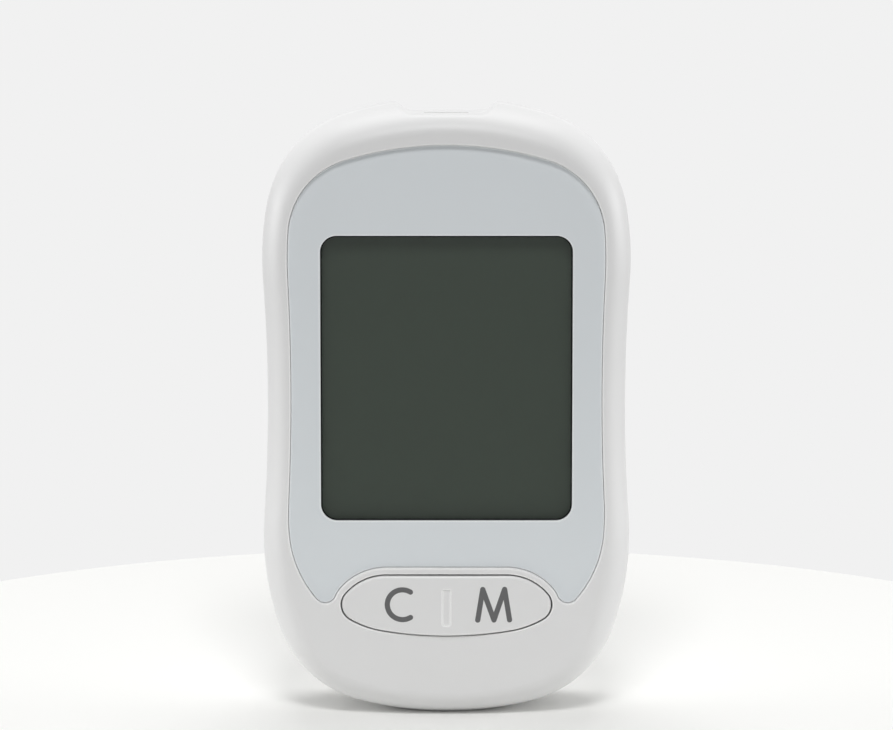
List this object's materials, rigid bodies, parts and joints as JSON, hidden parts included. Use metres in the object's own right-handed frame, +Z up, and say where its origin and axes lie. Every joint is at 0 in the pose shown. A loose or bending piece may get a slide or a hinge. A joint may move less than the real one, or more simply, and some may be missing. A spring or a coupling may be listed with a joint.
{
  "type": "blood glucose meter",
  "caption": "Hand-held blood glucose meter with a waisted two-shell case, recessed face plate, large display window, one rocking two-function key, top strip port and rear battery cover.",
  "frame": {"origin": "on the standing surface, under the middle of the case", "axes": "+X to the right as seen from the front, +Y from the display to the battery cover, +Z up towards the strip port"},
  "size_m": [0.059, 0.0225, 0.098],
  "materials": {
    "white_abs": "fine satin moulding",
    "face_film": "satin pale blue-grey",
    "window_clear": "clear acrylic",
    "key_white": "satin",
    "silicone": "matt",
    "carbon": "matt",
    "gold": "bright",
    "polarizer": "smooth",
    "lcd_glass": "smooth",
    "lcd_back": "grey-green",
    "holder_plastic": "matt",
    "zebra": "matt",
    "board_green": "solder resist",
    "chip_black": "moulded epoxy",
    "tin": "bright tin",
    "ceramic": "ceramic",
    "connector_black": "matt",
    "cell_sleeve": "plain printed sleeve",
    "spring_steel": "nickel plated",
    "screw_steel": "zinc plated"
  },
  "bodies": {
    "case": {"front_case": "white_abs", "rear_case": "white_abs", "faceplate": "face_film", "display_window": "window_clear", "keypad_mat": "silicone", "carbon_pills": "carbon", "key_contacts": "gold", "lcd_polarizer": "polarizer", "lcd_front_glass": "lcd_glass", "lcd_rear_glass": "lcd_glass", "lcd_reflector": "lcd_back", "lcd_holder": "holder_plastic", "zebra_strip": "zebra", "main_board": "board_green", "microcontroller": "chip_black", "memory_chip": "chip_black", "analog_chip": "chip_black", "crystal": "tin", "buzzer": "connector_black", "board_passives": "ceramic", "strip_connector": "connector_black", "strip_contacts": "gold", "battery_left": "cell_sleeve", "battery_right": "cell_sleeve", "contact_positive": "spring_steel", "contact_negative": "spring_steel", "contact_bridge": "spring_steel", "battery_springs": "spring_steel", "case_screws": "screw_steel", "board_screws": "screw_steel"},
    "key": {"rocker_button": "key_white"},
    "cover": {"battery_cover": "white_abs"}
  },
  "joints": [
    {"name": "key_rock", "type": "hinge", "parent": "case", "child": "key", "pos_m": [0, -0.0069, 0.018], "axis": [0, 0, 1], "range_deg": [-2.2, 2.2], "stiffness_Nm_per_rad": 0.15, "deforming": ["keypad_mat"]},
    {"name": "cover_swing", "type": "hinge", "parent": "case", "child": "cover", "pos_m": [0, 0.0101, 0.0661], "axis": [1, 0, 0], "range_deg": [0, 25]}
  ]
}
